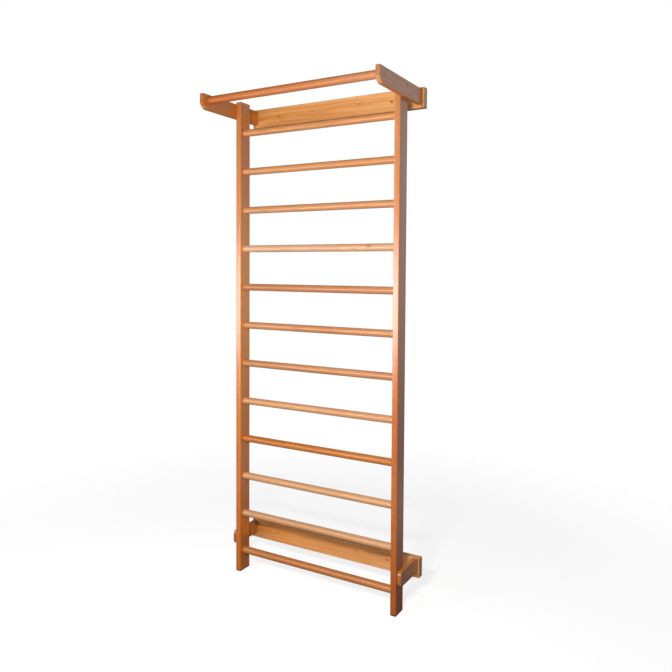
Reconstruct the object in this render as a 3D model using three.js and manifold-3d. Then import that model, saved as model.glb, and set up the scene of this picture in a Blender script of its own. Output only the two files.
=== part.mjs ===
// Wall bars (Swedish ladder) with an overhead pull-up bar, in lacquered wood.
// Two uprights hold twelve round rungs in blind sockets. An upper and a lower pair of arms are screwed to
// the uprights' outer faces and butt against two horizontal boards, which go flat on the wall. The upper
// arms run on forwards, past the uprights, and hold the pull-up bar between their front ends.
// Millimetres. +X to the right, -Y is the front that a climber faces, +Y is the wall, +Z up.
// The origin is on the floor, at the middle of the object's width and depth.
import * as THREE from "three";
import { mergeVertices } from "three/addons/utils/BufferGeometryUtils.js";
import Module from "manifold-3d";

const wasm = await Module();
wasm.setup();

// ---------------------------------------------------------------- driving dimensions
const GAP = 0.3; // clearance kept between touching pieces

const HEIGHT = 2300; // uprights, floor to top
const CLEAR_WIDTH = 820; // between the uprights' inner faces
const UPRIGHT_T = 28; // across X
const UPRIGHT_D = 73; // along Y
const UPRIGHT_FRONT_Y = 12; // front face of the uprights
const UPRIGHT_R = 3; // rounding of their long edges

const RUNG_COUNT = 12;
const RUNG_PITCH = 186.5;
const FIRST_RUNG_Z = 101; // axis of the lowest rung
const RUNG_D = 34;
const RUNG_SETBACK = 30; // axis behind the uprights' front face
const TENON_D = 24; // turned-down ends of the rungs and of the pull-up bar
const RUNG_TENON_L = 18;

const BAR_D = 36;
const BAR_TENON_L = 12;
const BAR_Y = UPRIGHT_FRONT_Y - 193; // axis, well in front of the rungs
const BAR_Z = 2265;

const BOARD_L = 940;
const BOARD_T = 34;
const BOARD_H = 90;
const BOARD_FRONT_Y = UPRIGHT_FRONT_Y + 175;
const UPPER_BOARD_Z0 = HEIGHT - BOARD_H;
const LOWER_BOARD_Z0 = 105;
const BOARD_R = 3;
const WALL_HOLE_X = 311; // wall-fixing holes, left and right of the middle
const WALL_HOLE_D = 9;
const WALL_HOLE_HEAD_D = 17;

const ARM_T = 20;
const ARM_R = 3; // rounding of the arms' corners in their side view
const UPPER_ARM_H = 70;
const UPPER_ARM_Z0 = 2222;
const UPPER_ARM_FRONT_Y = UPRIGHT_FRONT_Y - 233;
const UPPER_ARM_CHAMFER = 22; // lower front corner
const LOWER_ARM_H = 66;
const LOWER_ARM_Z0 = 129;
const LOWER_ARM_FRONT_Y = UPRIGHT_FRONT_Y + 6;
const LOWER_ARM_CORNER_R = 18; // both front corners

const SCREW_D = 5; // shank
const SCREW_HEAD_D = 10; // countersunk head
const SCREW_HEAD_H = 3.4;
const SCREW_SINK = 0.4; // head below the wood's surface
const ARM_SCREW_L = 42; // arm to upright
const BAR_SCREW_L = 48; // arm to pull-up bar
const BOARD_SCREW_L = 75; // board to arm, from behind

const SIDES = 24;

// ---------------------------------------------------------------- derived places
const uprightInner = CLEAR_WIDTH / 2;
const uprightOuter = uprightInner + UPRIGHT_T;
const armInner = uprightOuter + GAP;
const armOuter = uprightOuter + ARM_T;
const armRearY = BOARD_FRONT_Y - GAP;
const boardBackY = BOARD_FRONT_Y + BOARD_T;
const rungY = UPRIGHT_FRONT_Y + RUNG_SETBACK;

// ---------------------------------------------------------------- materials
const wood = (color, roughness = 0.32) =>
  new THREE.MeshStandardMaterial({ color, roughness, metalness: 0 });
const steel = () =>
  new THREE.MeshStandardMaterial({ color: 0xb9b4a6, roughness: 0.35, metalness: 1 });

// ---------------------------------------------------------------- solids
// A closed geometry as a solid that can be cut and joined.
function solid(geometry) {
  const g = geometry.clone();
  g.deleteAttribute("normal");
  g.deleteAttribute("uv");
  const m = mergeVertices(g, 1e-4);
  return new wasm.Manifold(
    new wasm.Mesh({
      numProp: 3,
      vertProperties: new Float32Array(m.attributes.position.array),
      triVerts: new Uint32Array(m.index.array),
    }),
  );
}

function geometryOf(manifold) {
  const mesh = manifold.getMesh();
  const g = new THREE.BufferGeometry();
  g.setAttribute("position", new THREE.BufferAttribute(new Float32Array(mesh.vertProperties), 3));
  g.setIndex(new THREE.BufferAttribute(new Uint32Array(mesh.triVerts), 1));
  g.computeVertexNormals();
  return g;
}

const cut = (geometry, tools) =>
  geometryOf(tools.reduce((body, tool) => body.subtract(solid(tool)), solid(geometry)));

// Puts a geometry whose own axis is +Y onto the given direction, then at a place.
function aim(geometry, direction, place) {
  const turn = new THREE.Quaternion().setFromUnitVectors(new THREE.Vector3(0, 1, 0), direction);
  return geometry.applyQuaternion(turn).translate(place.x, place.y, place.z);
}

// A rectangle with rounded corners, centred on the origin of its plane.
function roundedRectangle(width, height, r) {
  const w = width / 2;
  const h = height / 2;
  const s = new THREE.Shape();
  s.moveTo(-w + r, -h);
  s.lineTo(w - r, -h);
  s.absarc(w - r, -h + r, r, -Math.PI / 2, 0, false);
  s.lineTo(w, h - r);
  s.absarc(w - r, h - r, r, 0, Math.PI / 2, false);
  s.lineTo(-w + r, h);
  s.absarc(-w + r, h - r, r, Math.PI / 2, Math.PI, false);
  s.lineTo(-w, -h + r);
  s.absarc(-w + r, -h + r, r, Math.PI, 1.5 * Math.PI, false);
  return s;
}

// A straight cylinder from a mouth point, running into the wood along a direction.
function drill(diameter, depth, mouth, direction, over = 1) {
  const g = new THREE.CylinderGeometry(diameter / 2, diameter / 2, depth + over, SIDES);
  g.translate(0, (depth - over) / 2, 0);
  return aim(g, direction, mouth);
}

// A countersunk wood screw, head up at the origin and its tip along +Y, with a hexagonal drive socket.
function screwGeometry(length) {
  const r = SCREW_D / 2;
  const points = [
    [0, 0],
    [SCREW_HEAD_D / 2, 0],
    [SCREW_HEAD_D / 2, 0.5],
    [r, SCREW_HEAD_H],
    [r, length - 6],
    [0, length],
  ].map(([x, y]) => new THREE.Vector2(x, y));
  const body = new THREE.LatheGeometry(points, 16);
  const socket = new THREE.CylinderGeometry(1.8, 1.8, 3, 6).translate(0, 0.4, 0);
  return geometryOf(solid(body).subtract(solid(socket)));
}

// The hole that such a screw needs: its own outline, a little wider, and open at the surface.
function screwHole(length, mouth, direction) {
  const r = SCREW_D / 2 + GAP;
  const head = SCREW_HEAD_D / 2 + GAP;
  const points = [
    [0, -2],
    [head, -2],
    [head, SCREW_SINK + 0.5 + GAP],
    [r, SCREW_SINK + SCREW_HEAD_H + GAP],
    [r, length + SCREW_SINK + 1],
    [0, length + SCREW_SINK + 1],
  ].map(([x, y]) => new THREE.Vector2(x, y));
  return aim(new THREE.LatheGeometry(points, 16), direction, mouth);
}

// ---------------------------------------------------------------- the assembly
const part = new THREE.Group();

function add(name, geometry, material, x = 0, y = 0, z = 0) {
  const mesh = new THREE.Mesh(geometry, material);
  mesh.name = name;
  mesh.position.set(x, y, z);
  part.add(mesh);
  return mesh;
}

const sides = [
  { name: "left", sign: -1 },
  { name: "right", sign: 1 },
];
const X = new THREE.Vector3(1, 0, 0);
const Y = new THREE.Vector3(0, 1, 0);

// Where the screws sit in each joint. Two per joint, on a diagonal, so that the joint can't turn.
const upperArmScrews = [
  { y: UPRIGHT_FRONT_Y + 18, z: UPPER_ARM_Z0 + 50 },
  { y: UPRIGHT_FRONT_Y + 55, z: UPPER_ARM_Z0 + 20 },
];
const lowerArmScrews = [
  { y: UPRIGHT_FRONT_Y + 28, z: LOWER_ARM_Z0 + 48 },
  { y: UPRIGHT_FRONT_Y + 57, z: LOWER_ARM_Z0 + 18 },
];
const upperBoardScrews = [UPPER_ARM_Z0 + 15, UPPER_ARM_Z0 + 55];
const lowerBoardScrews = [LOWER_ARM_Z0 + 14, LOWER_ARM_Z0 + 52];
const boardScrewX = (armInner + armOuter) / 2;

// A screw through an arm's outer face, towards the middle of the object.
const sideScrewPlace = (side, { y, z }) =>
  new THREE.Vector3(side.sign * armOuter, y, z);
const inward = (side) => X.clone().multiplyScalar(-side.sign);

// ---- uprights
for (const side of sides) {
  const blank = new THREE.ExtrudeGeometry(roundedRectangle(UPRIGHT_T, UPRIGHT_D, UPRIGHT_R), {
    depth: HEIGHT,
    bevelEnabled: false,
    curveSegments: 3,
  }).translate(
    side.sign * (uprightInner + UPRIGHT_T / 2),
    UPRIGHT_FRONT_Y + UPRIGHT_D / 2,
    0,
  );
  const tools = [];
  for (let i = 0; i < RUNG_COUNT; i++) {
    const mouth = new THREE.Vector3(side.sign * uprightInner, rungY, FIRST_RUNG_Z + i * RUNG_PITCH);
    tools.push(
      drill(TENON_D + 2 * GAP, RUNG_TENON_L + GAP, mouth, X.clone().multiplyScalar(side.sign)),
    );
  }
  for (const place of [...upperArmScrews, ...lowerArmScrews]) {
    tools.push(screwHole(ARM_SCREW_L, sideScrewPlace(side, place), inward(side)));
  }
  add(`upright_${side.name}`, cut(blank, tools), wood(0xcf8340));
}

// ---- rungs and pull-up bar: round, with a turned-down tenon at each end
function turnedBar(bodyLength, bodyD, tenonL) {
  const half = bodyLength / 2;
  const end = half + tenonL;
  const r = bodyD / 2;
  const t = TENON_D / 2;
  const c = 1.2; // eased edges
  const points = [
    [0, -end],
    [t, -end],
    [t, -half],
    [r - c, -half],
    [r, -half + c],
    [r, half - c],
    [r - c, half],
    [t, half],
    [t, end],
    [0, end],
  ].map(([x, y]) => new THREE.Vector2(x, y));
  return new THREE.LatheGeometry(points, SIDES).rotateZ(-Math.PI / 2);
}

const rungBody = CLEAR_WIDTH - 2 * GAP;
for (let i = 0; i < RUNG_COUNT; i++) {
  add(
    `rung_${String(i + 1).padStart(2, "0")}`,
    turnedBar(rungBody, RUNG_D, RUNG_TENON_L - GAP),
    wood(0xe0a468, 0.28),
    0,
    rungY,
    FIRST_RUNG_Z + i * RUNG_PITCH,
  );
}

const barBody = 2 * armInner - 2 * GAP;
{
  const blank = turnedBar(barBody, BAR_D, BAR_TENON_L).translate(0, BAR_Y, BAR_Z);
  const tools = sides.map((side) =>
    screwHole(BAR_SCREW_L, sideScrewPlace(side, { y: BAR_Y, z: BAR_Z }), inward(side)),
  );
  add("pull_up_bar", cut(blank, tools), wood(0xdf9f62, 0.28));
}

// ---- arms: drawn in side view (Y across, Z up) and given their thickness along X
function armBlank(side, outline) {
  const g = new THREE.ExtrudeGeometry(outline, {
    depth: armOuter - armInner,
    bevelEnabled: false,
    curveSegments: 5,
  });
  // the outline's x becomes Y, its y becomes Z, and the thickness runs along X
  g.applyMatrix4(new THREE.Matrix4().makeBasis(Y, new THREE.Vector3(0, 0, 1), X));
  return g.translate(side.sign > 0 ? armInner : -armOuter, 0, 0);
}

function upperArmOutline() {
  const z0 = UPPER_ARM_Z0;
  const z1 = UPPER_ARM_Z0 + UPPER_ARM_H;
  const y0 = UPPER_ARM_FRONT_Y;
  const c = UPPER_ARM_CHAMFER;
  const s = new THREE.Shape();
  s.moveTo(y0 + c + 3, z0);
  s.lineTo(armRearY, z0);
  s.lineTo(armRearY, z1);
  s.lineTo(y0 + ARM_R, z1);
  s.absarc(y0 + ARM_R, z1 - ARM_R, ARM_R, Math.PI / 2, Math.PI, false);
  s.lineTo(y0, z0 + c + 3);
  s.quadraticCurveTo(y0, z0 + c, y0 + 2.2, z0 + c - 2.2);
  s.lineTo(y0 + c - 2.2, z0 + 2.2);
  s.quadraticCurveTo(y0 + c, z0, y0 + c + 3, z0);
  return s;
}

function lowerArmOutline() {
  const z0 = LOWER_ARM_Z0;
  const z1 = LOWER_ARM_Z0 + LOWER_ARM_H;
  const y0 = LOWER_ARM_FRONT_Y;
  const r = LOWER_ARM_CORNER_R;
  const s = new THREE.Shape();
  s.moveTo(y0 + r, z0);
  s.lineTo(armRearY, z0);
  s.lineTo(armRearY, z1);
  s.lineTo(y0 + r, z1);
  s.absarc(y0 + r, z1 - r, r, Math.PI / 2, Math.PI, false);
  s.lineTo(y0, z0 + r);
  s.absarc(y0 + r, z0 + r, r, Math.PI, 1.5 * Math.PI, false);
  return s;
}

for (const side of sides) {
  const socket = drill(
    TENON_D + 2 * GAP,
    BAR_TENON_L + GAP,
    new THREE.Vector3(side.sign * armInner, BAR_Y, BAR_Z),
    X.clone().multiplyScalar(side.sign),
  );
  const fromBehind = (z) =>
    screwHole(
      BOARD_SCREW_L,
      new THREE.Vector3(side.sign * boardScrewX, boardBackY, z),
      Y.clone().negate(),
    );
  add(
    `upper_arm_${side.name}`,
    cut(armBlank(side, upperArmOutline()), [
      socket,
      screwHole(BAR_SCREW_L, sideScrewPlace(side, { y: BAR_Y, z: BAR_Z }), inward(side)),
      ...upperArmScrews.map((p) => screwHole(ARM_SCREW_L, sideScrewPlace(side, p), inward(side))),
      ...upperBoardScrews.map(fromBehind),
    ]),
    wood(0xb5743f),
  );
  add(
    `lower_arm_${side.name}`,
    cut(armBlank(side, lowerArmOutline()), [
      ...lowerArmScrews.map((p) => screwHole(ARM_SCREW_L, sideScrewPlace(side, p), inward(side))),
      ...lowerBoardScrews.map(fromBehind),
    ]),
    wood(0xa9683a),
  );
}

// ---- wall boards: drawn in end view and given their length along X
function wallBoard(z0, screwHeights) {
  const blank = new THREE.ExtrudeGeometry(roundedRectangle(BOARD_T, BOARD_H, BOARD_R), {
    depth: BOARD_L,
    bevelEnabled: false,
    curveSegments: 3,
  });
  blank.applyMatrix4(new THREE.Matrix4().makeBasis(Y, new THREE.Vector3(0, 0, 1), X));
  blank.translate(-BOARD_L / 2, BOARD_FRONT_Y + BOARD_T / 2, z0 + BOARD_H / 2);
  const tools = [];
  for (const side of sides) {
    // countersunk hole for a wall screw, driven from the front
    const deep = (WALL_HOLE_HEAD_D - WALL_HOLE_D) / 2;
    const profile = [
      [0, -1],
      [WALL_HOLE_HEAD_D / 2, -1],
      [WALL_HOLE_HEAD_D / 2, 0],
      [WALL_HOLE_D / 2, deep],
      [WALL_HOLE_D / 2, BOARD_T + 1],
      [0, BOARD_T + 1],
    ].map(([x, y]) => new THREE.Vector2(x, y));
    tools.push(
      new THREE.LatheGeometry(profile, SIDES).translate(
        side.sign * WALL_HOLE_X,
        BOARD_FRONT_Y,
        z0 + BOARD_H / 2,
      ),
    );
    for (const z of screwHeights) {
      tools.push(
        screwHole(
          BOARD_SCREW_L,
          new THREE.Vector3(side.sign * boardScrewX, boardBackY, z),
          Y.clone().negate(),
        ),
      );
    }
  }
  return cut(blank, tools);
}

add("upper_wall_board", wallBoard(UPPER_BOARD_Z0, upperBoardScrews), wood(0xdd9455));
add("lower_wall_board", wallBoard(LOWER_BOARD_Z0, lowerBoardScrews), wood(0xcd8755));

// ---- screws
function addScrew(name, length, mouth, direction) {
  const place = mouth.clone().addScaledVector(direction, SCREW_SINK);
  add(name, aim(screwGeometry(length), direction, place), steel());
}

for (const side of sides) {
  upperArmScrews.forEach((p, i) =>
    addScrew(`upper_arm_screw_${side.name}_${i + 1}`, ARM_SCREW_L, sideScrewPlace(side, p), inward(side)),
  );
  lowerArmScrews.forEach((p, i) =>
    addScrew(`lower_arm_screw_${side.name}_${i + 1}`, ARM_SCREW_L, sideScrewPlace(side, p), inward(side)),
  );
  addScrew(
    `bar_screw_${side.name}`,
    BAR_SCREW_L,
    sideScrewPlace(side, { y: BAR_Y, z: BAR_Z }),
    inward(side),
  );
  upperBoardScrews.forEach((z, i) =>
    addScrew(
      `upper_board_screw_${side.name}_${i + 1}`,
      BOARD_SCREW_L,
      new THREE.Vector3(side.sign * boardScrewX, boardBackY, z),
      Y.clone().negate(),
    ),
  );
  lowerBoardScrews.forEach((z, i) =>
    addScrew(
      `lower_board_screw_${side.name}_${i + 1}`,
      BOARD_SCREW_L,
      new THREE.Vector3(side.sign * boardScrewX, boardBackY, z),
      Y.clone().negate(),
    ),
  );
}

export default part;
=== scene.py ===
import math
import random

import bmesh
import bpy
from mathutils import Matrix, Vector


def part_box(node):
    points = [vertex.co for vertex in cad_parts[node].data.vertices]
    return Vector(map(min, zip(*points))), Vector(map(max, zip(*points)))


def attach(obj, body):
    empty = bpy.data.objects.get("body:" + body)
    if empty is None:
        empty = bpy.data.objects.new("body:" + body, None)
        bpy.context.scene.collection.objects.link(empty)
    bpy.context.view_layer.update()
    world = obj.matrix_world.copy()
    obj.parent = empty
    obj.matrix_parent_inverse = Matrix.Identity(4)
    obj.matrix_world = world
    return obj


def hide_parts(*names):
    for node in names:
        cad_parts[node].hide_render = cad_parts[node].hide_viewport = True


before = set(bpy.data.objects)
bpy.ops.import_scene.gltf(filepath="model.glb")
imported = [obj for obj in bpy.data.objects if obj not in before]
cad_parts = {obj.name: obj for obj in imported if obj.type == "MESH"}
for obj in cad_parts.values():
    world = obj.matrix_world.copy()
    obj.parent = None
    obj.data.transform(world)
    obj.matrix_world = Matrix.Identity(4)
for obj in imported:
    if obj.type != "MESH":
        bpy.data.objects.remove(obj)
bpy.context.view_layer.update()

MM = 0.001
scene = bpy.context.scene
AXES = {"X": Vector((1, 0, 0)), "Y": Vector((0, 1, 0)), "Z": Vector((0, 0, 1))}


def box(node):
    lo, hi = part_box(node)
    return Vector(lo), Vector(hi)


# ------------------------------------------------------------------ camera
# Standing to the right of the bars and a little in front, at head height.
def make_camera():
    f, turn, pitch, roll = 659.286, 0.517131, 0.0371962, 0.0065702
    ppx, ppy, size = 347.368, 293.284, 672
    forward = Vector((-math.sin(turn) * math.cos(pitch), math.cos(turn) * math.cos(pitch), -math.sin(pitch)))
    right = Vector((math.cos(turn), math.sin(turn), 0))
    up = right.cross(forward)
    r2 = right * math.cos(roll) + up * math.sin(roll)
    u2 = up * math.cos(roll) - right * math.sin(roll)
    data = bpy.data.cameras.new("camera")
    data.sensor_width = 36
    data.lens = f / size * 36
    data.shift_x = (size / 2 - ppx) / size
    data.shift_y = (ppy - size / 2) / size
    data.clip_start, data.clip_end = 0.05, 100
    cam = bpy.data.objects.new("camera", data)
    cam.matrix_world = Matrix.Translation((1.62709, -2.51803, 1.49929)) @ Matrix((r2, u2, -forward)).transposed().to_4x4()
    scene.collection.objects.link(cam)
    scene.camera = cam


make_camera()


# ------------------------------------------------------------------ shader helper
class Tree:
    """A small shorthand for building a node material."""

    def __init__(self, name, world=False):
        if world:
            self.owner = bpy.data.worlds.new(name)
        else:
            self.owner = bpy.data.materials.new(name)
        self.owner.use_nodes = True
        self.tree = self.owner.node_tree
        self.tree.nodes.clear()

    def node(self, kind, **settings):
        n = self.tree.nodes.new("ShaderNode" + kind)
        for k, v in settings.items():
            setattr(n, k, v)
        return n

    def put(self, socket, value):
        if isinstance(value, bpy.types.NodeSocket):
            self.tree.links.new(value, socket)
        elif value is not None:
            if hasattr(socket.default_value, "__len__") and isinstance(value, (tuple, list, Vector)):
                want = len(socket.default_value)
                value = tuple(value) + (1.0,) * (want - len(value))
            socket.default_value = value

    def math(self, op, a, b=None, c=None, clamp=False):
        n = self.node("Math", operation=op, use_clamp=clamp)
        for i, v in enumerate((a, b, c)):
            if v is not None:
                self.put(n.inputs[i], v)
        return n.outputs[0]

    def vmath(self, op, a, b=None, scale=None):
        n = self.node("VectorMath", operation=op)
        self.put(n.inputs[0], a)
        if b is not None:
            self.put(n.inputs[1], b)
        if scale is not None:
            self.put(n.inputs["Scale"], scale)
        return n.outputs["Value"] if op in ("LENGTH", "DOT_PRODUCT", "DISTANCE") else n.outputs[0]

    def split(self, v):
        n = self.node("SeparateXYZ")
        self.put(n.inputs[0], v)
        return n.outputs[0], n.outputs[1], n.outputs[2]

    def join(self, x, y, z):
        n = self.node("CombineXYZ")
        for i, v in enumerate((x, y, z)):
            self.put(n.inputs[i], v)
        return n.outputs[0]

    def noise(self, vector, scale, detail=2.0, rough=0.5, distortion=0.0, colour=False):
        n = self.node("TexNoise", noise_dimensions="3D")
        self.put(n.inputs["Vector"], vector)
        self.put(n.inputs["Scale"], scale)
        self.put(n.inputs["Detail"], detail)
        self.put(n.inputs["Roughness"], rough)
        self.put(n.inputs["Distortion"], distortion)
        return n.outputs["Color" if colour else "Fac"]

    def span(self, value, lo, hi, out_lo=0.0, out_hi=1.0, smooth=True):
        n = self.node("MapRange", interpolation_type="SMOOTHSTEP" if smooth else "LINEAR", clamp=True)
        for i, v in enumerate((value, lo, hi, out_lo, out_hi)):
            self.put(n.inputs[i], v)
        return n.outputs[0]

    def mix(self, fac, a, b, blend="MIX"):
        n = self.node("Mix", data_type="RGBA", blend_type=blend, clamp_factor=True)
        self.put(n.inputs[0], fac)
        self.put(n.inputs[6], a)
        self.put(n.inputs[7], b)
        return n.outputs[2]

    def attribute(self, name, vector=False):
        n = self.node("Attribute", attribute_type="GEOMETRY", attribute_name=name)
        return n.outputs["Vector" if vector else "Fac"]


# ------------------------------------------------------------------ materials
def wood(name, grain_axis, pale, mid, dark, ring=3.1 * MM, knots=(), coat=0.45, coat_rough=0.13, coat_ior=1.5, rough=0.36, streak=1.0, sap_and_light_by_height=None, corner=None, heart_tint=(0.42, 0.40, 0.5), foot=False, dusty=False, relief=0.20):
    """Lacquered wood. Growth rings lie round an axis beside the piece, and fibres, pores and slow
    streaks run along it. All lengths are in metres, in the piece's own grain coordinates:
    x along the grain, y and z across it, measured from the middle of the tree."""
    t = Tree(name)
    g = t.attribute("grain", vector=True)
    tone = t.attribute("tone")
    wear = t.attribute("wear")
    u, v, w = t.split(g)

    # the grain wanders slowly along its length
    slow = t.noise(t.join(t.math("MULTIPLY", u, 1.0), t.math("MULTIPLY", v, 5.0), t.math("MULTIPLY", w, 5.0)), 1.7, 3, 0.5, colour=True)
    drift = t.vmath("SCALE", t.vmath("SUBTRACT", slow, (0.5, 0.5, 0.5)), scale=0.030)
    dx, dy, _ = t.split(drift)
    v2, w2 = t.math("ADD", v, dx), t.math("ADD", w, dy)

    # knots push the rings aside and have a dark heart of their own
    knot_mask = None
    bulge = None
    if knots:
        places = t.node("TexCoord").outputs["Object"]
        for kx, ky, kz, size in knots:
            d = t.vmath("SUBTRACT", places, (kx, ky, kz))
            d = t.vmath("MULTIPLY", d, (0.55, 0.25, 1.0) if grain_axis == "X" else (1.0, 1.0, 0.55))
            wob = t.noise(places, 90, 2, 0.5)
            dist = t.math("MULTIPLY", t.vmath("LENGTH", d), t.math("ADD", t.math("MULTIPLY", wob, 0.5), 0.75))
            heart = t.span(dist, size * 0.25, size * 0.85, 1, 0)
            halo = t.math("DIVIDE", 1.0, t.math("ADD", 1.0, t.math("POWER", t.math("DIVIDE", dist, size * 1.5), 2.5)))
            push = t.math("MULTIPLY", halo, size * 0.75)
            knot_mask = heart if knot_mask is None else t.math("MAXIMUM", knot_mask, heart)
            bulge = push if bulge is None else t.math("ADD", bulge, push)

    radius = t.vmath("LENGTH", t.join(0.0, v2, w2))
    if bulge is not None:
        radius = t.math("ADD", radius, bulge)
    jitter = t.noise(t.join(t.math("MULTIPLY", u, 6.0), t.math("MULTIPLY", v, 60.0), t.math("MULTIPLY", w, 60.0)), 1.0, 2, 0.5)
    phase = t.math("ADD", t.math("DIVIDE", radius, ring), t.math("MULTIPLY", jitter, 0.9))
    f = t.math("FRACT", phase)
    late = t.math("MULTIPLY", t.span(f, 0.30, 0.90), t.span(f, 0.93, 1.0, 1, 0))
    # not every year is as dark
    year = t.math("FLOOR", phase)
    strength = t.noise(t.join(t.math("MULTIPLY", year, 0.37), 0.0, 0.0), 3.0, 1, 0.5)
    late = t.math("MULTIPLY", late, t.span(strength, 0.25, 0.75, 0.45, 1.0))

    # broad streaks, fibres, and short pores
    broad = t.noise(t.join(t.math("MULTIPLY", u, 1.5), t.math("MULTIPLY", v2, 62.0), t.math("MULTIPLY", w2, 62.0)), 1.0, 3, 0.55)
    broad = t.span(broad, 0.34, 0.68)
    cloud = t.noise(t.join(t.math("MULTIPLY", u, 2.6), t.math("MULTIPLY", v, 9.0), t.math("MULTIPLY", w, 9.0)), 1.0, 2, 0.5)
    cloud = t.span(cloud, 0.3, 0.7)
    fibre = t.noise(t.join(t.math("MULTIPLY", u, 14.0), t.math("MULTIPLY", v, 760.0), t.math("MULTIPLY", w, 760.0)), 1.0, 2, 0.6)
    pore = t.noise(t.join(t.math("MULTIPLY", u, 210.0), t.math("MULTIPLY", v, 2600.0), t.math("MULTIPLY", w, 2600.0)), 1.0, 1, 0.5)
    pore = t.span(pore, 0.66, 0.78)

    colour = t.mix(t.math("MULTIPLY", broad, 0.85 * streak), pale, mid)
    colour = t.mix(t.math("MULTIPLY", cloud, 0.35 * streak), colour, mid)
    colour = t.mix(t.math("MULTIPLY", late, 0.42), colour, dark)
    colour = t.mix(t.math("MULTIPLY", t.span(fibre, 0.35, 0.75), 0.22), colour, dark)
    colour = t.mix(t.math("MULTIPLY", pore, 0.35), colour, tuple(c * 0.45 for c in dark))

    if knot_mask is not None:
        brown = tuple(c * s for c, s in zip(dark, heart_tint))
        colour = t.mix(t.math("MULTIPLY", knot_mask, 0.6), colour, brown)

    # end grain drinks more lacquer and is darker
    normal = t.node("NewGeometry").outputs["Normal"]
    facing = t.math("ABSOLUTE", t.vmath("DOT_PRODUCT", normal, tuple(AXES[grain_axis])))
    end = t.span(facing, 0.55, 0.95)
    colour = t.mix(t.math("MULTIPLY", end, 0.50), colour, dark)

    # pale sapwood towards the inner faces, more of it at some heights than others; partly the wood and partly painted
    # light, paler where light falls on the inner faces and on the uprights' fronts
    if sap_and_light_by_height:
        x, _, z = t.split(t.node("TexCoord").outputs["Object"])
        share = []
        for stops in sap_and_light_by_height:
            ramp = t.node("ValToRGB")
            ramp.color_ramp.interpolation = "B_SPLINE"
            t.put(ramp.inputs[0], t.math("DIVIDE", z, 2.3))
            band = ramp.color_ramp.elements
            while len(band) < len(stops):
                band.new(0.5)
            for e, (at, level) in zip(band, stops):
                e.position = at
                e.color = (level, level, level, 1)
            share.append(ramp.outputs[0])
        left_share, right_share = share
        part = t.node("SeparateXYZ")
        t.put(part.inputs[0], t.mix(t.math("GREATER_THAN", x, 0.0), left_share, right_share))
        amount = t.math("MULTIPLY", t.attribute("sap_and_light"), part.outputs[0])
        sap_and_light = tuple(min(0.95, c * k) for c, k in zip(pale, (1.25, 1.5, 1.7)))
        colour = t.mix(t.math("MULTIPLY", t.math("POWER", amount, 2.5), 0.95), colour, sap_and_light)

    # painted shadow: the front of each board is painted dark just beyond the outer face of each arm, fading towards
    # the board's end, where the arm's shadow falls
    if corner:
        x, _, _ = t.split(t.node("TexCoord").outputs["Object"])
        front = t.span(t.vmath("DOT_PRODUCT", normal, (0.0, -1.0, 0.0)), 0.6, 0.9)
        beside = t.math("ABSOLUTE", x)
        arm_shadow_mask = t.math("MULTIPLY", t.span(beside, corner[0] - 0.004, corner[0]), t.span(beside, corner[0] + 0.004, corner[1], 1, 0))
        colour = t.mix(t.math("MULTIPLY", t.math("MULTIPLY", front, arm_shadow_mask), 0.8), colour, tuple(c * 0.55 for c in dark))

    # each piece was cut from another board; its tone and brightness along its length also carry painted light
    shift = t.node("HueSaturation")
    t.put(shift.inputs["Hue"], t.math("ADD", 0.5, t.math("MULTIPLY", tone, 0.006)))
    dull = t.attribute("dull")
    t.put(shift.inputs["Saturation"], t.math("SUBTRACT", t.math("ADD", 1.0, t.math("MULTIPLY", tone, -0.09)), t.math("MULTIPLY", dull, 0.09)))
    value = t.math("ADD", t.math("ADD", 1.0, t.attribute("bright")), t.math("MULTIPLY", tone, 0.08))
    t.put(shift.inputs["Value"], t.math("SUBTRACT", value, t.math("MULTIPLY", dull, 0.06)))
    t.put(shift.inputs["Color"], colour)
    colour = shift.outputs[0]

    # rounded edges are rubbed a little paler and duller
    scuff = t.noise(t.vmath("SCALE", g, scale=1.0), 170, 3, 0.6)
    rubbed = t.math("MULTIPLY", wear, t.span(scuff, 0.38, 0.62))
    colour = t.mix(t.math("MULTIPLY", rubbed, 0.45), colour, tuple(min(1, c * 1.12 + 0.03) for c in pale))

    # the feet turn darker over their lowest 13 mm, towards the floor
    if foot:
        low = t.split(t.node("TexCoord").outputs["Object"])[2]
        low = t.math("ADD", low, t.math("MULTIPLY", t.math("SUBTRACT", scuff, 0.5), 0.006))
        colour = t.mix(t.math("MULTIPLY", t.span(low, 0.001, 0.013, 1, 0), 0.7), colour, tuple(c * 0.3 for c in dark))

    haze = t.noise(g, 22, 3, 0.55)
    roughness = t.math("ADD", t.math("MULTIPLY", haze, 0.16), rough - 0.08)
    roughness = t.math("ADD", roughness, t.math("MULTIPLY", rubbed, 0.16), clamp=True)
    # the narrow upper and lower edges got only a thin, dull coat
    weight = coat
    if dusty:
        edge = t.span(t.math("ABSOLUTE", t.split(normal)[2]), 0.6, 0.9)
        weight = t.math("MULTIPLY", t.math("SUBTRACT", 1.0, edge), coat)
        roughness = t.math("ADD", roughness, t.math("MULTIPLY", edge, 0.34), clamp=True)

    height = t.math("ADD", t.math("MULTIPLY", fibre, 0.55), t.math("MULTIPLY", late, 0.35))
    height = t.math("SUBTRACT", height, t.math("MULTIPLY", pore, 0.6))
    bump = t.node("Bump")
    t.put(bump.inputs["Strength"], relief)
    t.put(bump.inputs["Distance"], 0.00016)
    t.put(bump.inputs["Height"], height)

    b = t.node("BsdfPrincipled")
    t.put(b.inputs["Base Color"], colour)
    t.put(b.inputs["Roughness"], roughness)
    t.put(b.inputs["Normal"], bump.outputs[0])
    b.inputs["IOR"].default_value = 1.5
    t.put(b.inputs["Coat Weight"], weight)
    b.inputs["Coat Roughness"].default_value = coat_rough
    b.inputs["Coat IOR"].default_value = coat_ior
    out = t.node("OutputMaterial")
    t.put(out.inputs["Surface"], b.outputs[0])
    return t.owner


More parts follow.
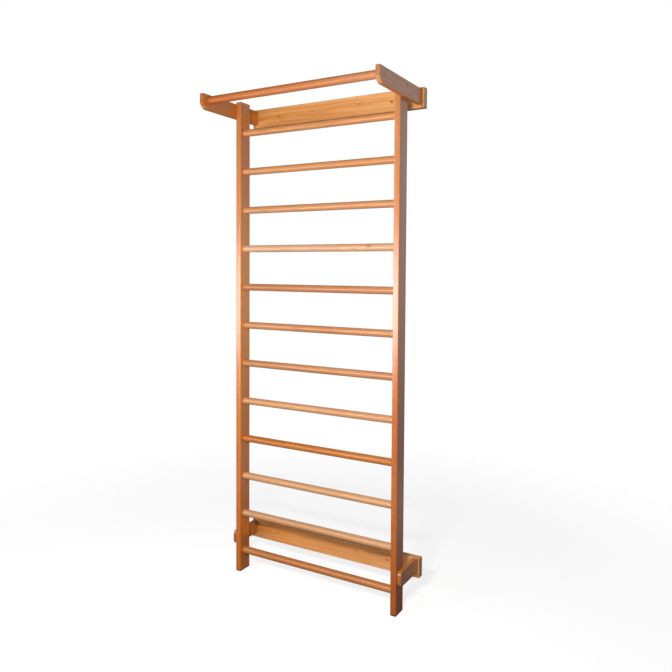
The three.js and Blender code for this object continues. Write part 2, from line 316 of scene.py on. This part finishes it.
def zinc(name):
    """Yellow-passivated zinc on steel, a little dull, with fine rubbing marks."""
    t = Tree(name)
    p = t.node("TexCoord").outputs["Object"]
    patch = t.noise(p, 260, 3, 0.55)
    fine = t.noise(p, 2600, 2, 0.6)
    colour = t.mix(t.span(patch, 0.3, 0.7), (0.56, 0.43, 0.25), (0.44, 0.36, 0.26))
    colour = t.mix(t.math("MULTIPLY", t.span(fine, 0.45, 0.8), 0.3), colour, (0.30, 0.25, 0.19))
    b = t.node("BsdfPrincipled")
    t.put(b.inputs["Base Color"], colour)
    b.inputs["Metallic"].default_value = 1.0
    t.put(b.inputs["Roughness"], t.span(patch, 0.2, 0.8, 0.30, 0.46))
    bump = t.node("Bump")
    t.put(bump.inputs["Strength"], 0.2)
    t.put(bump.inputs["Distance"], 0.00004)
    t.put(bump.inputs["Height"], fine)
    t.put(b.inputs["Normal"], bump.outputs[0])
    out = t.node("OutputMaterial")
    t.put(out.inputs["Surface"], b.outputs[0])
    return t.owner


PALE, MID, DARK = (0.72, 0.252, 0.056), (0.58, 0.165, 0.025), (0.34, 0.074, 0.011)
RUNG_PALE, RUNG_MID, RUNG_DARK = (0.73, 0.312, 0.104), (0.61, 0.218, 0.051), (0.38, 0.100, 0.020)
BAR_PALE, BAR_MID, BAR_DARK = (0.66, 0.195, 0.036), (0.56, 0.145, 0.020), (0.35, 0.072, 0.010)

upper_lo, upper_hi = box("upper_wall_board")
lower_lo, lower_hi = box("lower_wall_board")
rung9_lo, rung9_hi = box("rung_09")

MATERIALS = {
    "upright_wood": wood(
        "upright_wood", "Z", PALE, MID, DARK, coat=1.0, coat_rough=0.27, coat_ior=2.0, foot=True,
        # the pale band by height is partly painted light, set to how brightly each height is lit
        sap_and_light_by_height=(
            [(0.0, 0.30), (0.25, 0.45), (0.50, 0.95), (0.68, 0.90), (0.80, 0.65), (0.95, 0.40)],
            [(0.0, 0.15), (0.25, 0.30), (0.50, 0.85), (0.68, 0.90), (0.80, 0.75), (0.95, 0.60)],
        ),
    ),
    "rung_wood": wood(
        "rung_wood", "X", RUNG_PALE, RUNG_MID, RUNG_DARK, coat=0.6, streak=0.8, relief=0.10,
        knots=[(0.285, rung9_lo.y, (rung9_lo.z + rung9_hi.z) / 2 + 0.005, 13 * MM)],
        heart_tint=(0.8, 0.75, 0.8),
    ),
    "bar_wood": wood("bar_wood", "X", BAR_PALE, BAR_MID, BAR_DARK, coat=0.2, coat_rough=0.3, rough=0.42, streak=0.8, relief=0.08),
    "arm_wood": wood("arm_wood", "Y", PALE, MID, DARK, coat=1.0, coat_rough=0.25, coat_ior=1.9, dusty=True),
    # both boards carry a painted shadow of the arms on their fronts, beside each arm
    "upper_board": wood(
        "board_wood_upper", "X", (0.90, 0.440, 0.150), (0.76, 0.290, 0.065), (0.54, 0.165, 0.032), ring=5.2 * MM, coat=0.9, coat_rough=0.2, streak=1.1, corner=(0.458, 0.4675), dusty=True,
        knots=[
            (0.144, upper_lo.y, upper_lo.z + 52 * MM, 7 * MM),
            (-0.114, upper_lo.y, upper_lo.z + 49 * MM, 5 * MM),
            (-0.335, upper_hi.y, upper_lo.z + 30 * MM, 8 * MM),
        ],
    ),
    "lower_board": wood(
        "board_wood_lower", "X", (0.94, 0.440, 0.145), (0.80, 0.290, 0.060), (0.54, 0.160, 0.028), ring=4.8 * MM, coat=0.9, coat_rough=0.2, streak=1.1, corner=(0.458, 0.4675), dusty=True,
        knots=[
            (0.145, lower_lo.y, lower_lo.z + 55 * MM, 7 * MM),
            (-0.205, lower_hi.y, lower_lo.z + 38 * MM, 7 * MM),
        ],
    ),
    "screw_steel": zinc("screw_steel"),
}


# ------------------------------------------------------------------ mesh helpers
def to_object(name, bm):
    bmesh.ops.recalc_face_normals(bm, faces=bm.faces[:])
    mesh = bpy.data.meshes.new(name)
    bm.to_mesh(mesh)
    bm.free()
    obj = bpy.data.objects.new(name, mesh)
    scene.collection.objects.link(obj)
    return obj


def apply_modifiers(obj):
    bpy.context.view_layer.update()
    graph = bpy.context.evaluated_depsgraph_get()
    mesh = bpy.data.meshes.new_from_object(obj.evaluated_get(graph), preserve_all_data_layers=True, depsgraph=graph)
    old = obj.data
    obj.modifiers.clear()
    obj.data = mesh
    bpy.data.meshes.remove(old)
    mesh.name = obj.name


def turn(bm, profile, origin, axis, sides=48):
    """Adds a turned solid: profile is a list of (distance along the axis, radius)."""
    origin, axis = Vector(origin), Vector(axis).normalized()
    a = axis.orthogonal().normalized()
    b = axis.cross(a)
    rings = []
    for s, r in profile:
        c = origin + axis * s
        if r < 1e-7:
            rings.append([bm.verts.new(c)])
        else:
            rings.append(
                [
                    bm.verts.new(c + (a * math.cos(2 * math.pi * i / sides) + b * math.sin(2 * math.pi * i / sides)) * r)
                    for i in range(sides)
                ]
            )
    for p, q in zip(rings, rings[1:]):
        for i in range(sides):
            j = (i + 1) % sides
            if len(p) == 1 and len(q) > 1:
                bm.faces.new((p[0], q[j], q[i]))
            elif len(q) == 1 and len(p) > 1:
                bm.faces.new((p[i], p[j], q[0]))
            elif len(p) > 1:
                bm.faces.new((p[i], p[j], q[j], q[i]))


def arc(cx, cy, r, start, stop, steps):
    return [
        (cx + r * math.cos(start + (stop - start) * i / steps), cy + r * math.sin(start + (stop - start) * i / steps))
        for i in range(steps + 1)
    ]


def cut(obj, tools):
    """Takes the closed solids in the bmesh tools out of obj."""
    tool = to_object(obj.name + "_tool", tools)
    mod = obj.modifiers.new("cut", "BOOLEAN")
    mod.operation = "DIFFERENCE"
    mod.solver = "EXACT"
    mod.object = tool
    apply_modifiers(obj)
    mesh = tool.data
    bpy.data.objects.remove(tool, do_unlink=True)
    bpy.data.meshes.remove(mesh)


def shade(obj, angle=40):
    """Smooth over rounded edges, flat on flat faces, crisp at cut edges."""
    obj.data.shade_smooth()
    obj.data.set_sharp_from_angle(angle=math.radians(angle))
    mod = obj.modifiers.new("flats", "WEIGHTED_NORMAL")
    mod.keep_sharp = True
    mod.weight = 100
    apply_modifiers(obj)


def rounded_block(name, lo, hi, along, r_long, r_end, steps=5):
    """A planed board with rounded long edges and eased ends."""
    bm = bmesh.new()
    bmesh.ops.create_cube(bm, size=1.0)
    for v in bm.verts:
        v.co = Vector([lo[i] if v.co[i] < 0 else hi[i] for i in range(3)])
    k = "XYZ".index(along)
    long_edges = [e for e in bm.edges if abs((e.verts[0].co - e.verts[1].co)[k]) > 1e-6]
    bmesh.ops.bevel(bm, geom=long_edges, offset=r_long, segments=steps, profile=0.5, affect="EDGES")
    ends = [
        e
        for e in bm.edges
        if len(e.link_faces) == 2
        and abs(e.verts[0].co[k] - e.verts[1].co[k]) < 1e-7
        and max(abs(f.normal[k]) for f in e.link_faces) > 0.9
        and min(abs(f.normal[k]) for f in e.link_faces) < 0.1
    ]
    bm.normal_update()
    bmesh.ops.bevel(bm, geom=ends, offset=r_end, segments=3, profile=0.5, affect="EDGES")
    return to_object(name, bm)


def slab(name, outline, lo_x, hi_x, r_edge):
    """A flat piece drawn in side view (y, z), with both outlines eased."""
    bm = bmesh.new()
    near = [bm.verts.new((lo_x, y, z)) for y, z in outline]
    face = bm.faces.new(near)
    bm.normal_update()
    made = bmesh.ops.extrude_face_region(bm, geom=[face])
    for v in made["geom"]:
        if isinstance(v, bmesh.types.BMVert):
            v.co.x = hi_x
    bm.normal_update()
    rims = [e for e in bm.edges if abs(e.verts[0].co.x - e.verts[1].co.x) < 1e-7]
    bmesh.ops.bevel(bm, geom=rims, offset=r_edge, segments=3, profile=0.5, affect="EDGES")
    return to_object(name, bm)


# how pale (+) or how orange (-) each piece is at its two ends, how dull, and how bright at its two ends;
# those not listed are in between. The rungs differ as pieces cut from different boards; the changes along
# the uprights, arms and wall boards, and the brightness at the ends, are partly painted light, lighter or darker
# where more or less light falls
TONES = {
    "rung_12": (0.2, 0.2, 0.0, 0.0, 0.0), "rung_11": (0.2, 0.2, 0.2, 0.0, 0.0), "rung_10": (0.2, 0.2, 0.7, 0.0, 0.0),
    "rung_09": (1.6, 1.2, 1.1, 0.05, 0.05), "rung_08": (-1.0, -0.6, 1.3, 0.0, 0.0), "rung_07": (-0.3, -0.1, 0.9, 0.0, 0.0),
    "rung_06": (-0.4, -0.2, 1.0, 0.0, 0.0), "rung_05": (0.9, 0.9, 0.3, 0.0, 0.0), "rung_04": (-1.1, -0.9, 0.2, 0.0, 0.0),
    "rung_03": (1.2, 1.2, 0.2, 0.04, 0.04), "rung_02": (1.4, 1.4, 0.0, 0.03, 0.03), "rung_01": (-0.8, -0.6, 0.3, 0.04, 0.04),
    "pull_up_bar": (-0.6, 0.9, 0.5, 0.01, -0.05), "upright_right": (-2.2, 0.2, 0.5, 0.03, -0.02), "upright_left": (-0.7, 0.1, 0.0, 0.21, 0.03),
    "upper_wall_board": (-0.1, 0.3, 0.0, 0.0, 0.0), "lower_wall_board": (-0.3, 1.0, 0.0, 0.11, 0.02),
    "upper_arm_right": (0.9, 0.0, 0.0, 0.02, 0.28), "lower_arm_right": (0.4, 0.4, 0.0, 0.0, 0.30),
    "upper_arm_left": (0.0, -0.3, 0.0, 0.06, 0.12),
}


def dress(obj, node, material, along, pith, wear_r=None):
    """Gives a wooden piece its grain coordinates, tone and worn edges, and puts it in its CAD node's place."""
    rnd = random.Random(f"{node} grain")
    lo, hi = box(node)
    mesh = obj.data
    centre = (lo + hi) / 2
    start = rnd.uniform(3, 30)
    tone = TONES.get(node, (0.0, 0.0, 0.0, 0.0, 0.0))
    run = "XYZ".index(along)
    order = {"X": (0, 1, 2), "Y": (1, 0, 2), "Z": (2, 1, 0)}[along]
    values, wears, tones, tone_and_light_levels, sap_and_light_shares = [], [], [], [], []
    for v in mesh.vertices:
        d = v.co - centre
        way = (v.co[run] - lo[run]) / (hi[run] - lo[run])
        tones.append(tone[0] + (tone[1] - tone[0]) * way)
        tone_and_light_levels.append(tone[3] + (tone[4] - tone[3]) * way)
        # the pale band grows towards each upright's inner face: partly sapwood, partly painted light falling on the
        # inner faces
        across = (v.co.x - lo.x) / (hi.x - lo.x)
        across = {"upright_left": across, "upright_right": 1 - across}.get(node, 0.0)
        sap_and_light_shares.append(across)
        values += [d[order[0]] + start, d[order[1]] + pith[0], d[order[2]] + pith[1]]
        if wear_r:
            gaps = sorted(min(v.co[i] - lo[i], hi[i] - v.co[i]) for i in range(3))
            wears.append(max(0.0, min(1.0, 1 - gaps[1] / (wear_r * 0.98))))
        else:
            wears.append(0.0)
    for name, kind, field, data in (
        ("grain", "FLOAT_VECTOR", "vector", values),
        ("tone", "FLOAT", "value", tones),
        ("dull", "FLOAT", "value", [tone[2]] * len(tones)),
        ("bright", "FLOAT", "value", tone_and_light_levels),
        ("sap_and_light", "FLOAT", "value", sap_and_light_shares),
        ("wear", "FLOAT", "value", wears),
    ):
        mesh.attributes.new(name, kind, "POINT").data.foreach_set(field, data)
    mesh.materials.clear()
    mesh.materials.append(material)
    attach(obj, "root")
    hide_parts(node)


# ------------------------------------------------------------------ shared sizes
arm_box = {s: box(f"upper_arm_{s}") for s in ("left", "right")}
low_arm_box = {s: box(f"lower_arm_{s}") for s in ("left", "right")}
up_box = {s: box(f"upright_{s}") for s in ("left", "right")}
SIGN = {"left": -1, "right": 1}
SCREWS = [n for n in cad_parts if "_screw_" in n]
HEAD_R, SHANK_R, HEAD_H = 5 * MM, 2.5 * MM, 3.4 * MM


def screw_line(node):
    """Where a screw's head is, which way it points and how long it is."""
    lo, hi = box(node)
    c = (lo + hi) / 2
    size = hi - lo
    k = max(range(3), key=lambda i: size[i])
    if k == 1:  # from the back of a board, forwards
        return Vector((c.x, hi.y, c.z)), Vector((0, -1, 0)), size.y
    inward = -1 if c.x > 0 else 1
    head = hi.x if inward < 0 else lo.x
    return Vector((head, c.y, c.z)), Vector((inward, 0, 0)), size.x


def screw_hole(bm, node, head_r=HEAD_R + 0.35 * MM, shank_r=SHANK_R + 0.3 * MM):
    mouth, way, length = screw_line(node)
    turn(
        bm,
        [(-4 * MM, 0), (-4 * MM, head_r), (0.8 * MM, head_r), (HEAD_H + 0.4 * MM, shank_r), (length + 1 * MM, shank_r), (length + 1 * MM, 0)],
        mouth,
        way,
        40,
    )


# ------------------------------------------------------------------ uprights
rung_names = [n for n in sorted(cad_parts) if n.startswith("rung_")]
for side in ("left", "right"):
    node = f"upright_{side}"
    lo, hi = up_box[side]
    obj = rounded_block(f"{node}_wood", lo, hi, "Z", 3.2 * MM, 1.6 * MM)
    tools = bmesh.new()
    inner = hi.x if side == "left" else lo.x
    for r in rung_names:
        rlo, rhi = box(r)
        c = (rlo + rhi) / 2
        turn(tools, [(-4 * MM, 0), (-4 * MM, 12.3 * MM), (18.3 * MM, 12.3 * MM), (18.3 * MM, 0)], (inner, c.y, c.z), (SIGN[side], 0, 0), 48)
    for s in SCREWS:
        if side in s and ("upper_arm_screw" in s or "lower_arm_screw" in s):
            screw_hole(tools, s)
    cut(obj, tools)
    shade(obj)
    dress(obj, node, MATERIALS["upright_wood"], "Z", (0.088, 0.012), 3.2 * MM)


# ------------------------------------------------------------------ rungs and pull-up bar
def turned_bar(name, node, tenon_l, slot, material):
    lo, hi = box(node)
    c = (lo + hi) / 2
    half = (hi.x - lo.x) / 2
    body = half - tenon_l
    r, t, e = (hi.z - lo.z) / 2, 12 * MM, 1.6 * MM
    right_half = [(x + 0.0, y) for x, y in arc(body - e, r - e, e, math.pi / 2, 0, 5)]
    right_half = [(x, y) for x, y in right_half]
    profile = [(0.0, r)]
    rows = 10
    profile = [(body * i / rows, r) for i in range(rows)] + right_half + [(body, t), (half - 1.2 * MM, t), (half, t - 1.2 * MM), (half, 0)]
    profile = [(-s, q) for s, q in reversed(profile[1:])] + profile
    bm = bmesh.new()
    turn(bm, profile, (c.x, c.y, c.z), (1, 0, 0), 64)
    obj = to_object(name, bm)
    return obj, c, r


for node in rung_names:
    obj, c, r = turned_bar(f"{node}_wood", node, 17.7 * MM, "rung_wood", MATERIALS["rung_wood"])
    shade(obj)
    rnd = random.Random(f"{node} pith")
    angle, far = rnd.uniform(0, 2 * math.pi), rnd.uniform(0.03, 0.07)
    dress(obj, node, MATERIALS["rung_wood"], "X", (far * math.cos(angle), far * math.sin(angle)))

obj, c, r = turned_bar("pull_up_bar_wood", "pull_up_bar", 12.3 * MM, "bar_wood", MATERIALS["bar_wood"])
tools = bmesh.new()
for s in SCREWS:
    if s.startswith("bar_screw"):
        screw_hole(tools, s)
cut(obj, tools)
shade(obj)
dress(obj, "pull_up_bar", MATERIALS["bar_wood"], "X", (0.045, 0.02))


# ------------------------------------------------------------------ arms
def arm_holes(side, kind):
    tools = bmesh.new()
    for s in SCREWS:
        if side not in s:
            continue
        if s.startswith(f"{kind}_arm_screw") or s.startswith(f"{kind}_board_screw") or (kind == "upper" and s.startswith("bar_screw")):
            screw_hole(tools, s)
    return tools


bar_lo, bar_hi = box("pull_up_bar")
bar_c = (bar_lo + bar_hi) / 2
for side in ("left", "right"):
    # upper arm: chamfered lower front corner
    node = f"upper_arm_{side}"
    lo, hi = arm_box[side]
    y0, y1, z0, z1, c, r = lo.y, hi.y, lo.z, hi.z, 22 * MM, 4 * MM
    outline = (
        [(y1 - 1 * MM, z0), (y1, z0 + 1 * MM), (y1, z1 - 1 * MM), (y1 - 1 * MM, z1)]
        + arc(y0 + r, z1 - r, r, math.pi / 2, math.pi, 6)
        + arc(y0 + 6 * MM, z0 + c + 2.5 * MM, 6 * MM, math.pi, 1.25 * math.pi, 4)
        + arc(y0 + c + 2.5 * MM, z0 + 6 * MM, 6 * MM, 1.25 * math.pi, 1.5 * math.pi, 4)
    )
    obj = slab(f"{node}_wood", outline, lo.x, hi.x, 1.8 * MM)
    tools = arm_holes(side, "upper")
    inner = hi.x if side == "left" else lo.x
    turn(tools, [(-4 * MM, 0), (-4 * MM, 12.3 * MM), (12.3 * MM, 12.3 * MM), (12.3 * MM, 0)], (inner, bar_c.y, bar_c.z), (SIGN[side], 0, 0), 48)
    cut(obj, tools)
    shade(obj)
    dress(obj, node, MATERIALS["arm_wood"], "Y", (0.055 * SIGN[side], 0.01), 1.8 * MM)

    # lower arm: both front corners rounded
    node = f"lower_arm_{side}"
    lo, hi = low_arm_box[side]
    y0, y1, z0, z1, r = lo.y, hi.y, lo.z, hi.z, 18 * MM
    outline = (
        [(y1 - 1 * MM, z0), (y1, z0 + 1 * MM), (y1, z1 - 1 * MM), (y1 - 1 * MM, z1)]
        + arc(y0 + r, z1 - r, r, math.pi / 2, math.pi, 12)
        + arc(y0 + r, z0 + r, r, math.pi, 1.5 * math.pi, 12)
    )
    obj = slab(f"{node}_wood", outline, lo.x, hi.x, 1.8 * MM)
    cut(obj, arm_holes(side, "lower"))
    shade(obj)
    dress(obj, node, MATERIALS["arm_wood"], "Y", (0.06 * SIGN[side], -0.015), 1.8 * MM)


# ------------------------------------------------------------------ wall boards
for kind in ("upper", "lower"):
    node = f"{kind}_wall_board"
    lo, hi = box(node)
    obj = rounded_block(f"{node}_wood", lo, hi, "X", 3.2 * MM, 1.8 * MM)
    tools = bmesh.new()
    mid_z = (lo.z + hi.z) / 2
    for x in (-311 * MM, 311 * MM):
        turn(
            tools,
            [(-4 * MM, 0), (-4 * MM, 8.5 * MM), (0, 8.5 * MM), (4 * MM, 4.5 * MM), (hi.y - lo.y + 4 * MM, 4.5 * MM), (hi.y - lo.y + 4 * MM, 0)],
            (x, lo.y, mid_z),
            (0, 1, 0),
            48,
        )
    for s in SCREWS:
        if s.startswith(f"{kind}_board_screw"):
            screw_hole(tools, s)
    cut(obj, tools)
    shade(obj)
    dress(obj, node, MATERIALS[f"{kind}_board"], "X", (0.075, 0.008 if kind == "upper" else -0.012), 3.2 * MM)


# ------------------------------------------------------------------ screws
def screw(node):
    mouth, way, length = screw_line(node)
    bm = bmesh.new()
    core = 1.75 * MM
    profile = [(0, 0), (0, HEAD_R - 0.25 * MM), (0.12 * MM, HEAD_R - 0.06 * MM), (0.3 * MM, HEAD_R), (0.55 * MM, HEAD_R - 0.1 * MM)]
    profile += [(0.55 * MM + (HEAD_H - 0.55 * MM) * i / 4, HEAD_R - 0.1 * MM - (HEAD_R - 0.1 * MM - SHANK_R) * i / 4) for i in range(1, 5)]
    profile += [(HEAD_H + 9 * MM, SHANK_R), (HEAD_H + 9.8 * MM, core)]
    # a thread, drawn as close-set rings, down to the gimlet point
    pitch, s = 2.2 * MM, HEAD_H + 10.6 * MM
    while s < length - 5 * MM:
        profile += [(s, core), (s + 0.5 * MM, SHANK_R - 0.1 * MM), (s + 0.7 * MM, SHANK_R - 0.1 * MM), (s + 1.2 * MM, core)]
        s += pitch
    profile += [(length - 4.5 * MM, core), (length, 0)]
    turn(bm, profile, mouth, way, 32)
    obj = to_object(f"{node}_steel", bm)
    tools = bmesh.new()
    turn(tools, [(-2 * MM, 0), (-2 * MM, 1.9 * MM), (1.9 * MM, 1.8 * MM), (2.5 * MM, 0)], mouth, way, 6)
    cut(obj, tools)
    shade(obj, 35)
    obj.data.materials.clear()
    obj.data.materials.append(MATERIALS["screw_steel"])
    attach(obj, "root")
    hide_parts(node)


for s in SCREWS:
    screw(s)


# ------------------------------------------------------------------ studio
def make_floor():
    """A pale floor that fades into the white surroundings. It throws little light back up."""
    t = Tree("floor_white")
    p = t.node("TexCoord").outputs["Object"]
    away = t.vmath("LENGTH", p)
    seen = t.node("BsdfDiffuse")
    seen.inputs["Color"].default_value = (0.42, 0.42, 0.42, 1)
    glow = t.node("Emission")
    glow.inputs["Color"].default_value = (1.0, 1.0, 1.0, 1)
    glow.inputs["Strength"].default_value = 0.78
    bright = t.node("AddShader")
    t.put(bright.inputs[0], seen.outputs[0])
    t.put(bright.inputs[1], glow.outputs[0])
    dim = t.node("BsdfDiffuse")
    dim.inputs["Color"].default_value = (0.22, 0.22, 0.22, 1)
    # to reflections the floor glows white, dimmer close to the bars: a painted reflection, with painted shade near
    # the bars
    sheen = t.node("Emission")
    sheen.inputs["Color"].default_value = (1.0, 1.0, 1.0, 1)
    t.put(sheen.inputs["Strength"], t.span(away, 0.45, 2.2, 0.08, 0.50))
    rays = t.node("LightPath")
    other = t.node("MixShader")
    t.put(other.inputs[0], rays.outputs["Is Glossy Ray"])
    t.put(other.inputs[1], dim.outputs[0])
    t.put(other.inputs[2], sheen.outputs[0])
    look = t.node("MixShader")
    t.put(look.inputs[0], rays.outputs["Is Camera Ray"])
    t.put(look.inputs[1], other.outputs[0])
    t.put(look.inputs[2], bright.outputs[0])
    clear = t.node("BsdfTransparent")
    both = t.node("MixShader")
    t.put(both.inputs[0], t.span(away, 0.9, 2.8))
    t.put(both.inputs[1], look.outputs[0])
    t.put(both.inputs[2], clear.outputs[0])
    out = t.node("OutputMaterial")
    t.put(out.inputs["Surface"], both.outputs[0])
    bm = bmesh.new()
    bmesh.ops.create_circle(bm, cap_ends=True, radius=6.0, segments=96)
    obj = to_object("floor", bm)
    obj.data.materials.append(t.owner)


def make_world():
    """White all round to look at. As a light it is a bright backdrop behind the bars and a dim room in front."""
    t = Tree("studio", world=True)
    way = t.node("TexCoord").outputs["Generated"]
    behind = t.vmath("DOT_PRODUCT", way, (-0.25, 0.968, 0.0))
    x, y, z = t.split(way)
    level = t.span(behind, 0.58, 0.80, 0.22, 0.60)
    level = t.math("MULTIPLY", level, t.span(z, 0.15, 0.75, 1.0, 0.35))
    level = t.math("MULTIPLY", level, t.span(z, -0.35, 0.0, 0.30, 1.0))
    seen = t.node("LightPath").outputs["Is Camera Ray"]
    level = t.math("MAXIMUM", level, seen)
    bg = t.node("Background")
    t.put(bg.inputs["Color"], t.join(level, level, level))
    bg.inputs["Strength"].default_value = 1.0
    out = t.node("OutputWorld")
    t.put(out.inputs["Surface"], bg.outputs[0])
    scene.world = t.owner


def area(name, at, look, size, power, colour=(1, 1, 1), glare=True):
    data = bpy.data.lights.new(name, "AREA")
    data.shape = "RECTANGLE"
    data.size, data.size_y = size
    data.energy = power
    data.color = colour
    obj = bpy.data.objects.new(name, data)
    obj.location = at
    obj.rotation_mode = "QUATERNION"
    obj.rotation_quaternion = (Vector(look) - Vector(at)).to_track_quat("-Z", "Y")
    obj.visible_camera = False
    obj.visible_glossy = glare
    scene.collection.objects.link(obj)


make_floor()
make_world()
area("key", (0.85, -2.0, 1.68), (0.0, 0.1, 1.30), (0.45, 0.14), 46.5, glare=False)
area("strip", (-1.18, -2.0, 1.24), (0.0, 0.0, 1.32), (2.4, 0.78), 21)
area("strip_near", (-0.55, -2.02, 1.25), (0.0, 0.0, 1.32), (0.75, 0.78), 4.0)

scene.view_settings.view_transform = "Standard"
scene.view_settings.look = "None"
scene.view_settings.exposure = 0.0
scene.view_settings.gamma = 1.0
